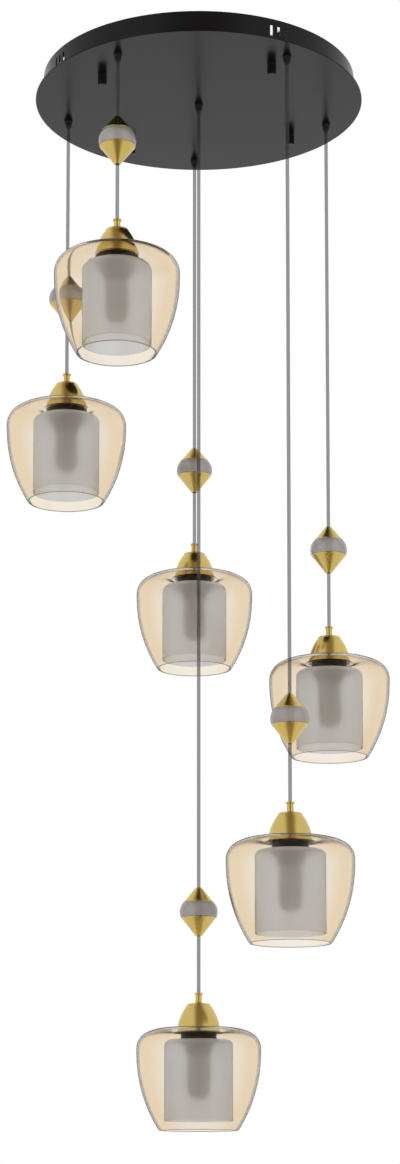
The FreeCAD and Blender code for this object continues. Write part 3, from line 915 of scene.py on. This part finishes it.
@dataclass
class CordTails:
    """The cord ends inside the canopy, from the grips to the terminal block."""

    radius: float = 2.7
    sides: int = 20
    level: float = -12.0
    bend_room: float = 0.4
    corner: float = 14.0
    block_out: float = 75.0
    pole: float = 12.0
    block_side: float = 11.0
    block_end: float = 32.0
    lead: float = 30.0

    def entries(self) -> dict[int, list[Corner]]:
        """How each tail comes to the block.

        Returns:
            By pendant, the points before and at the block, along and across it from its middle.
        """
        side, end = self.block_side, self.block_end
        far_side, far_end = side + self.lead, end + self.lead
        return {
            1: [(-self.pole, -far_side), (-self.pole, -side)],
            2: [(-self.pole, far_side), (-self.pole, side)],
            3: [(self.pole, far_side), (self.pole, side)],
            4: [(far_end, 0.0), (end, 0.0)],
            5: [(self.pole, -far_side), (self.pole, -side)],
            6: [(-end, 0.0)]}

    def route(self, spot: Vector, low: float, entry: Sequence[Corner], turn: float) -> list[Vector]:
        """Lay one tail's route.

        Args:
            spot: The place of its pendant's axis, in metres.
            low: The level of its grip's tip.
            entry: How it comes to the block.
            turn: The block's direction in degrees.

        Returns:
            The route's points; it starts just inside the grip, which leaves the cord room to bend.
        """
        along_x, along_y = math.cos(math.radians(turn)), math.sin(math.radians(turn))
        ends = []
        for along, across in entry:
            out = along + self.block_out
            ends.append(Vector((out * along_x - across * along_y, out * along_y + across * along_x,
                                self.level)) * MM)
        foot = spot + Vector((0, 0, (low + self.bend_room) * MM))
        top = spot + Vector((0, 0, self.level * MM))
        return with_near_points([foot, top, *ends], self.corner * MM)


@dataclass
class Canopy:
    """The black canopy with its cap nuts, cord grips and cord tails."""

    lathe: TurningLathe
    machine: CordMachine
    spots: Spots = field(default_factory=Spots)
    nuts: CapNuts = field(default_factory=CapNuts)
    grips: CordGrips = field(default_factory=CordGrips)
    tails: CordTails = field(default_factory=CordTails)
    plate_low: float = -36.0

    def build(self) -> None:
        """Make and dress everything that stays on the ceiling."""
        self._dress_hidden_nodes()
        for node in ("canopy_ring", "cover_plate"):
            self._smooth_copy(node, CANOPY_COAT)
        self._build_nuts()
        self._build_grips()
        self._build_tails()

    def _dress_hidden_nodes(self) -> None:
        """Give the solids that stay as they are their finishes."""
        for node, finish in (("ceiling_cross", ZINC), ("cross_screws", ZINC), ("plate_studs", ZINC),
                             ("grip_nuts", PLASTIC_BLACK), ("terminal_block", PLASTIC_WHITE)):
            dress_node(node, finish)

    def _smooth_copy(self, node: str, finish: Finish) -> None:
        """Stand a merged and smoothly shaded copy in for a sheet-metal node.

        Args:
            node: The node's name.
            finish: Its finish.
        """
        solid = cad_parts[node].data
        copy = bpy.data.meshes.new(f"{node}_copy")
        copy.from_pydata([tuple(vertex.co) for vertex in solid.vertices], [],
                         [tuple(face.vertices) for face in solid.polygons])
        copy.materials.append(finish.material())
        add_piece(f"{node}_shell", joined(f"{node}_shell", [copy]), "root", [node])

    def _build_nuts(self) -> None:
        """The cap nuts on the studs."""
        spots = [self.spots.stud(number) for number in range(self.spots.studs)]
        mesh = self.lathe.turn("cap_nuts", self.nuts.outline(self.plate_low), spots, NUT_BLACK,
                               segments=48)
        add_piece("cap_nuts", joined("cap_nuts", [mesh]), "root", ["finial_nuts"])

    def _build_grips(self) -> None:
        """One cord grip for each pendant."""
        spots = [self.spots.pendant(number) for number in self.tails.entries()]
        mesh = self.lathe.turn("cord_grips_black", self.grips.outline(self.plate_low), spots,
                               PLASTIC_BLACK, segments=40)
        add_piece("cord_grip_set", joined("cord_grip_set", [mesh]), "root",
                  ["cord_grips"])

    def _build_tails(self) -> None:
        """One cord tail for each pendant."""
        low = self.plate_low - self.grips.length
        for number, entry in self.tails.entries().items():
            name = f"cord_tail_{number}"
            route = self.tails.route(self.spots.pendant(number), low, entry, self.spots.stud_angle)
            mesh = self.machine.sheath(name, route_line(name, route), self.tails.radius,
                                       self.tails.sides, SHEATH)
            add_piece(name, joined(name, [mesh]), "root", ["cord_tails"])


# ---------------------------------------------------------------- pendants

@dataclass
class Pendant:
    """One pendant: its cord and what hangs on it.

    Heights are measured from the top of the outer glass, here and in the classes that it builds.
    """

    number: int
    drop: float
    travel: float
    lathe: TurningLathe
    machine: CordMachine
    spots: Spots = field(default_factory=Spots)
    plate_low: float = -36.0
    grip_low: float = -48.0
    cord_radius: float = 2.7
    cord_sides: int = 28
    cord_low: float = 40.0

    @property
    def body(self) -> str:
        """The body that the hanging pieces move with."""
        return f"pendant_{self.number}"

    @property
    def axis(self) -> Vector:
        """The pendant's place on the plan, in metres."""
        return self.spots.pendant(self.number)

    def level(self, height: float = 0.0) -> Vector:
        """The axis's point in metres, at a height in millimetres above the top of the outer glass."""
        return self.axis + Vector((0, 0, (self.plate_low - self.drop + height) * MM))

    def turned(self, name: str, outlines: Sequence[Outline], finish: Finish, nodes: Sequence[str],
               rise: float = 0.0, segments: int = 64) -> bpy.types.Object:
        """Turn outlines into one piece of this pendant.

        Args:
            name: The piece's name, without the pendant's number.
            outlines: Its outlines.
            finish: Its finish.
            nodes: The solids it stands for, without the pendant's number.
            rise: The level of the outlines' zero above the top of the outer glass.
            segments: How many faces go round.

        Returns:
            The piece.
        """
        full = f"{name}_{self.number}"
        spot = [self.level(rise)]
        meshes = [self.lathe.turn(full, outline, spot, finish, segments) for outline in outlines]
        solids = [f"{node}_{self.number}" for node in nodes]
        return add_piece(full, joined(full, meshes), self.body, solids)

    def build(self) -> None:
        """Make the whole pendant."""
        self._cord()
        for part in (Bead(), Cup(), Lampholder(), Glasses(), Lamp()):
            part.build(self)

    def _cord(self) -> None:
        """The taut cord from its grip into the collar; it shortens as the pendant is raised."""
        top = self.axis + Vector((0, 0, self.grip_low * MM))
        foot = self.level(self.cord_low)
        route = [top.lerp(foot, share) for share in (0.0, 0.25, 0.5, 0.75, 1.0)]
        name = f"hanging_cord_{self.number}"
        line = route_line(name, route)
        mesh = self.machine.sheath(name, line, self.cord_radius, self.cord_sides, SHEATH)
        piece = add_piece(name, joined(name, [mesh]), f"swing_{self.number}",
                          [f"cord_{self.number}"])
        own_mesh(piece)


@dataclass(frozen=True)
class Bead:
    """The double cone: two brass cones with turned rims and a smoked glass band between them.

    Its other heights are measured from its own middle, which lies at its rise. A ledge is a row
    of steps, each with its inset from the rim and its distance from the edge.
    """

    rise: float = 172.0
    half_height: float = 36.0
    tip: float = 4.5
    bore: float = 3.0
    stem: float = 6.0
    play: float = 0.2
    upper_seat: float = 31.6
    lower_seat: float = -31.7
    upper_rim: float = 22.5
    upper_edge: float = 14.0
    upper_ledge: tuple[Corner, ...] = ((1.2, 1.5), (1.2, 1.1), (0.1, 0.9))
    lower_rim: float = 26.2
    lower_edge: float = -8.5
    lower_ledge: tuple[Corner, ...] = ((1.4, 1.8), (1.3, 1.4), (0.2, 1.0))
    rim_width: float = 1.9
    band_curve: float = 20.7

    def build(self, pendant: Pendant) -> None:
        """Make the bead.

        Args:
            pendant: The pendant it hangs on.
        """
        hole, stem_top = self.stem + self.play, self.upper_seat - self.play
        cap = Outline([
            (self.bore, self.half_height), (self.tip, self.half_height),
            *[(self.upper_rim - inset, self.upper_edge + up) for inset, up in self.upper_ledge],
            (self.upper_rim, self.upper_edge), (self.upper_rim - self.rim_width, self.upper_edge),
            (hole, self.upper_seat), (self.bore, self.upper_seat)], ease=0.35)
        base = Outline([
            (self.bore, stem_top), (self.bore, -self.half_height), (self.tip, -self.half_height),
            *[(self.lower_rim - inset, self.lower_edge - down) for inset, down in self.lower_ledge],
            (self.lower_rim, self.lower_edge), (self.lower_rim - self.rim_width, self.lower_edge),
            (self.stem, self.lower_seat), (self.stem, stem_top)], ease=0.35)
        top, low = self.upper_edge - self.play, self.lower_edge + self.play
        band = Outline([
            (hole, low), (hole, top), (self.upper_rim, top),
            (self.lower_rim, low, self.band_curve, LEFT)], ease=0.5)
        pendant.turned("bead_cones", [cap, base], BRASS, ["bead_caps"], self.rise, segments=72)
        pendant.turned("bead_band", [band], BEAD_GLASS, ["bead_glass"], self.rise, segments=72)


@dataclass(frozen=True)
class Cup:
    """The domed brass cup and its screwed collar, which the cord runs into."""

    radius: float = 31.5
    skirt_low: float = -3.8
    skirt_top: float = 0.2
    dome_curve: float = 70.0
    shoulder: float = 17.5
    shoulder_curve: float = 2.5
    top: float = 36.0
    hole: float = 5.1
    wall: float = 1.2
    collar_bore: float = 2.8
    collar_top: float = 52.0
    head: float = 6.3
    head_height: float = 2.6
    head_slope: float = 0.2
    waist: float = 4.8
    foot: float = 6.8
    foot_height: float = 1.0
    foot_slope: float = 1.2
    thread: float = 5.0
    thread_low: float = 27.0

    def build(self, pendant: Pendant) -> None:
        """Make the cup and its collar.

        Args:
            pendant: The pendant it hangs on.
        """
        wall, flat = self.wall, self.shoulder - self.shoulder_curve
        turn = self.top - self.shoulder_curve
        cup = Outline([
            (self.radius, self.skirt_low), (self.radius, self.skirt_top),
            (self.shoulder, turn, self.dome_curve, RIGHT),
            (flat, self.top, self.shoulder_curve, RIGHT), (self.hole, self.top),
            (self.hole, self.top - wall), (flat, self.top - wall),
            (self.shoulder - wall, turn, self.shoulder_curve - wall, LEFT),
            (self.radius - wall, self.skirt_top, self.dome_curve - wall, LEFT),
            (self.radius - wall, self.skirt_low)])
        head_low, foot_top = self.collar_top - self.head_height, self.top + self.foot_height
        collar = Outline([
            (self.collar_bore, self.collar_top), (self.head, self.collar_top),
            (self.head, head_low), (self.waist, head_low - self.head_slope),
            (self.waist, foot_top + self.foot_slope), (self.foot, foot_top), (self.foot, self.top),
            (self.thread, self.top), (self.thread, self.thread_low),
            (self.collar_bore, self.thread_low)])
        pendant.turned("brass_cup", [cup, collar], BRASS, ["cup"], segments=80)


@dataclass(frozen=True)
class Lampholder:
    """The lampholder with its grooved spacer ring and its bevelled retaining ring."""

    hole: float = 5.1
    top: float = 34.6
    cap: float = 17.0
    cap_bevel: Corner = (3.2, 4.0)
    thread: float = 19.75
    thread_top: float = -3.6
    low: float = -38.0
    socket: float = 13.5
    socket_top: float = -8.0
    ring_play: float = 0.1
    spacer: float = 26.5
    spacer_top: float = -6.4
    spacer_low: float = -16.8
    groove: float = 0.6
    groove_slope: float = 0.5
    land: float = 4.0
    retainer: float = 25.0
    retainer_top: float = -19.4
    retainer_low: float = -25.9
    retainer_bevel: Corner = (0.8, 0.9)

    def build(self, pendant: Pendant) -> None:
        """Make the lampholder and its two rings.

        Args:
            pendant: The pendant it hangs on.
        """
        holder = Outline([
            (self.hole, self.top), (self.cap - self.cap_bevel[0], self.top),
            (self.cap, self.top - self.cap_bevel[1]), (self.cap, self.thread_top),
            (self.thread, self.thread_top), (self.thread, self.low), (self.socket, self.low),
            (self.socket, self.socket_top), (self.hole, self.socket_top)])
        ring = self.thread + self.ring_play
        groove_top, groove_low = self.spacer_top - self.land, self.spacer_low + self.land
        spacer = Outline([
            (ring, self.spacer_top), (self.spacer, self.spacer_top), (self.spacer, groove_top),
            (self.spacer - self.groove, groove_top - self.groove_slope),
            (self.spacer - self.groove, groove_low + self.groove_slope),
            (self.spacer, groove_low), (self.spacer, self.spacer_low), (ring, self.spacer_low)])
        retainer = Outline([
            (ring, self.retainer_top), (self.retainer, self.retainer_top),
            (self.retainer, self.retainer_low + self.retainer_bevel[1]),
            (self.retainer - self.retainer_bevel[0], self.retainer_low), (ring, self.retainer_low)])
        pendant.turned("lampholder_set", [holder, spacer, retainer], PLASTIC_BLACK, ["lampholder"],
                       segments=64)


@dataclass(frozen=True)
class Glasses:
    """The champagne bell and the smoked cylinder inside it, both with fire-polished rims."""

    wall: float = 2.2
    neck_hole: float = 20.5
    neck_drop: float = 4.0
    neck_curve: float = 26.5
    crest: float = 50.0
    top_curve: float = 58.03
    radius: float = 91.5
    shoulder: float = 26.0
    widest_from: float = 30.0
    widest_to: float = 36.0
    height: float = 150.0
    mouth: float = 58.25
    lip: float = 1.5
    inner_radius: float = 50.5
    inner_shoulder: float = 9.0
    inner_top: float = -17.0
    inner_low: float = -136.0
    polish: float = 1.05

    def build(self, pendant: Pendant) -> None:
        """Make both glasses.

        Args:
            pendant: The pendant they hang on.
        """
        bell = pendant.turned("bell_glass", [self._bell()], CHAMPAGNE, ["outer_glass"], segments=112)
        # The faces round the bell's mouth get painted shade as a dark line.
        self._paint_lip_shade(bell, pendant.level(self.lip - self.height).z)
        pendant.turned("inner_cylinder", [self._cylinder()], SMOKE, ["inner_glass"], segments=96)

    def _bell_corners(self, inset: float) -> list[Corner]:
        """The bell's line from its neck to its mouth.

        Args:
            inset: How far inside the outer surface it lies.

        Returns:
            The corners.
        """
        run, fall = self.radius - self.shoulder - self.crest, self.widest_from
        reach = self.top_curve - self.shoulder
        neck_curve, shoulder = self.neck_curve - inset, self.shoulder - inset
        neck_in = math.sqrt(neck_curve ** 2 - (neck_curve - self.neck_drop) ** 2)
        turn_x = self.radius - self.shoulder + shoulder * run / reach
        turn_z = shoulder * (self.top_curve - fall) / reach - fall
        taper, flank = self.radius - self.mouth, self.height - self.widest_to
        side = (taper ** 2 + flank ** 2) / (2 * taper)
        mouth = self.radius - side + math.sqrt((side - inset) ** 2 - flank ** 2)
        return [
            (self.crest - neck_in, -(self.neck_drop + inset)), (self.crest, -inset, neck_curve, LEFT),
            (turn_x, turn_z, self.top_curve - inset, LEFT),
            (self.radius - inset, -fall, shoulder, LEFT), (self.radius - inset, -self.widest_to),
            (mouth, -self.height, side - inset, LEFT)]

    def _bell(self) -> Outline:
        """The bell: down its outer surface and back up its inner one.

        Returns:
            The outline.
        """
        outer, inner = self._bell_corners(0.0), self._bell_corners(self.wall)
        back: list[Corner] = [inner[-1][:2]]
        for corner, arrived in zip(reversed(inner[:-1]), reversed(inner)):
            back.append(corner[:2] if len(arrived) == 2 else (*corner[:2], arrived[2], RIGHT))
        return Outline([
            (self.neck_hole, -self.neck_drop), *outer, *back,
            (self.neck_hole, -self.neck_drop - self.wall)], ease=self.polish)

    def _cylinder(self) -> Outline:
        """The cylinder: a flat top with a round shoulder, and a straight side.

        Returns:
            The outline.
        """
        r, wall, curve = self.inner_radius, self.wall, self.inner_shoulder
        top, low = self.inner_top, self.inner_low
        return Outline([
            (self.neck_hole, top), (r - curve, top), (r, top - curve, curve, LEFT), (r, low),
            (r - wall, low), (r - wall, top - curve), (r - curve, top - wall, curve - wall, RIGHT),
            (self.neck_hole, top - wall)], ease=self.polish)

    @staticmethod
    def _paint_lip_shade(glass: bpy.types.Object, limit: float) -> None:
        """Paint shade on the faces round a glass's open mouth: a dark line that stands in for the shade
        seen at the lip.

        Args:
            glass: The glass.
            limit: The height under which its faces belong to the lip, in metres.
        """
        glass.data.materials.append(LIP_PAINTED_SHADE.material())
        for face in glass.data.polygons:
            face.material_index = 1 if face.center.z < limit else 0


@dataclass(frozen=True)
class Lamp:
    """The tubular opal lamp and its threaded cap."""

    radius: float = 17.5
    low: float = -105.0
    straight_top: float = -52.0
    neck: tuple[Corner, ...] = ((15.8, -46.5), (13.0, -40.0), (12.6, -38.6))
    cap_low: float = -38.4
    thread: float = 13.2
    root: float = 12.6
    pitch: float = 3.6
    turns: int = 6
    first_turn: float = -36.0
    contact: tuple[Corner, ...] = ((12.4, -14.0), (6.0, -11.6), (4.0, -11.0))

    def build(self, pendant: Pendant) -> None:
        """Make the lamp.

        Args:
            pendant: The pendant it is screwed into.
        """
        bulb = Outline([
            (0.0, self.low), (self.radius, self.low + self.radius, self.radius, RIGHT),
            (self.radius, self.straight_top), *self.neck, (0.0, self.neck[-1][1])], ease=1.5)
        thread: list[Corner] = []
        for turn in range(self.turns):
            height = self.first_turn + turn * self.pitch
            thread += [(self.root, height), (self.thread, height + self.pitch / 2)]
        cap = Outline([
            (0.0, self.cap_low), (self.thread, self.cap_low), *thread, *self.contact,
            (0.0, self.contact[-1][1])], ease=0.8)
        pendant.turned("lamp_bulb", [bulb], OPAL, ["bulb"], segments=56)
        pendant.turned("lamp_cap", [cap], NICKEL, [], segments=48)


# ---------------------------------------------------------------- studio

@dataclass(frozen=True)
class Softbox:
    """A square soft light, in metres and watts; no metal mirrors it and it shows through no glass."""

    name: str
    place: Place
    target: Place
    power: float
    size: float = 1.6

    def build(self) -> None:
        """Put the light up."""
        data = bpy.data.lights.new(self.name, "AREA")
        data.shape = "SQUARE"
        data.size = self.size
        data.energy = self.power
        light = bpy.data.objects.new(self.name, data)
        light.visible_glossy = False
        light.visible_transmission = False
        light.location = self.place
        way = Vector(self.target) - Vector(self.place)
        light.rotation_euler = way.to_track_quat("-Z", "Y").to_euler()
        bpy.context.scene.collection.objects.link(light)


@dataclass
class Studio:
    """The camera, the soft lights, the white surroundings and the pale floor, in metres."""

    focal_pixels: float = 2549.5
    photo_height: float = 1164.0
    sensor: float = 36.0
    camera_place: Place = (-0.1203, -3.7400, -1.7082)
    pitch: float = 7.0
    yaw: float = 1.872
    lens_shift: float = 0.26305
    clip_end: float = 50.0
    floor_level: float = -1.75
    floor_radius: float = 4.0
    floor_colour: Colour = (0.86, 0.86, 0.86)
    floor_roughness: float = 0.7
    gap_colour: Colour = (0.36, 0.27, 0.22)
    gap_from: float = 0.15
    gap_to: float = 0.55
    room_light: float = 0.85
    behind_glass: float = 0.7
    lights: tuple[Softbox, ...] = (
        Softbox("key_left", (-2.4, -2.2, 0.2), (0.0, 0.0, -0.7), 38.0),
        Softbox("fill_right", (2.6, -1.6, -0.4), (0.0, 0.0, -0.9), 24.0))

    def build(self) -> None:
        """Set everything up."""
        self._camera()
        self._world()
        self._floor()
        for light in self.lights:
            light.build()

    def _camera(self) -> None:
        """The camera at the photograph's point of view."""
        data = bpy.data.cameras.new("camera")
        data.sensor_width = self.sensor
        data.lens = self.focal_pixels / self.photo_height * self.sensor
        data.shift_y = self.lens_shift
        data.clip_end = self.clip_end
        camera = bpy.data.objects.new("camera", data)
        camera.location = self.camera_place
        camera.rotation_euler = (math.radians(90 + self.pitch), 0.0, math.radians(-self.yaw))
        bpy.context.scene.collection.objects.link(camera)
        bpy.context.scene.camera = camera
        bpy.context.scene.view_settings.view_transform = "Standard"

    def _world(self) -> None:
        """White for what the camera sees straight or through glass, and soft light for the rest.

        Polished surfaces mirror white screens at both sides and behind, with a dim gap between
        them. Glass doesn't show the lamps, so matt surfaces behind it get more of the room.
        """
        world = bpy.data.worlds.new("white_room")
        world.use_nodes = True
        graph = Graph(world.node_tree)
        rays = graph.node("ShaderNodeLightPath")
        mirrored, matt = (graph.wire(rays, f"{kind} Depth").some() for kind in ("Glossy", "Diffuse"))
        seen = graph.wire(rays, "Is Camera Ray").highest(graph.wire(rays, "Is Transmission Ray"))
        gloss = graph.wire(rays, "Is Glossy Ray").highest(mirrored)
        split = graph.node("ShaderNodeSeparateXYZ", {}, {
            0: graph.node("ShaderNodeTexCoord").outputs["Generated"]})
        side, depth = graph.wire(split, "X"), graph.wire(split, "Y").highest(0.0)
        off_gap = (side ** 2.0 + depth ** 2.0) ** 0.5
        screens = graph.ramp(off_gap, self.gap_from, self.gap_to).highest(1 - gloss)
        through = seen * (1 + matt * self.behind_glass)
        strength = gloss.highest(through + (1 - seen) * self.room_light)
        back = graph.node("ShaderNodeBackground", {}, {
            "Color": graph.mix_colour(screens, self.gap_colour, WHITE), "Strength": strength})
        graph.node("ShaderNodeOutputWorld", {}, {"Surface": back})
        bpy.context.scene.world = world

    def _floor(self) -> None:
        """A wide pale floor below the lowest pendant."""
        shape = bmesh.new()
        bmesh.ops.create_circle(shape, cap_ends=True, segments=96, radius=self.floor_radius)
        bmesh.ops.translate(shape, verts=shape.verts, vec=(0, 0, self.floor_level))
        mesh = bpy.data.meshes.new("floor")
        shape.to_mesh(mesh)
        shape.free()
        material = bpy.data.materials.new("pale_floor")
        material.use_nodes = True
        graph = Graph(material.node_tree)
        shader = graph.node("ShaderNodeBsdfPrincipled", {}, {
            "Base Color": self.floor_colour, "Roughness": self.floor_roughness})
        graph.node("ShaderNodeOutputMaterial", {}, {"Surface": shader})
        mesh.materials.append(material)
        floor = bpy.data.objects.new("floor", mesh)
        floor.visible_glossy = False
        bpy.context.scene.collection.objects.link(floor)


# How far the top of each outer glass hangs below the plate, and how far it can be drawn up.
DROPS = (305.0, 460.0, 688.0, 854.0, 1162.0, 1420.0)
TRAVELS = (60.0, 200.0, 250.0, 250.0, 250.0, 250.0)


def main() -> None:
    """Build the studio, the six pendants and the canopy."""
    logging.basicConfig(level=logging.INFO, format="%(message)s")
    Studio().build()
    lathe, machine = TurningLathe(), CordMachine()
    for number, (drop, travel) in enumerate(zip(DROPS, TRAVELS), start=1):
        Pendant(number, drop, travel, lathe, machine).build()
    Canopy(lathe, machine).build()


if __name__ == "__main__":
    main()
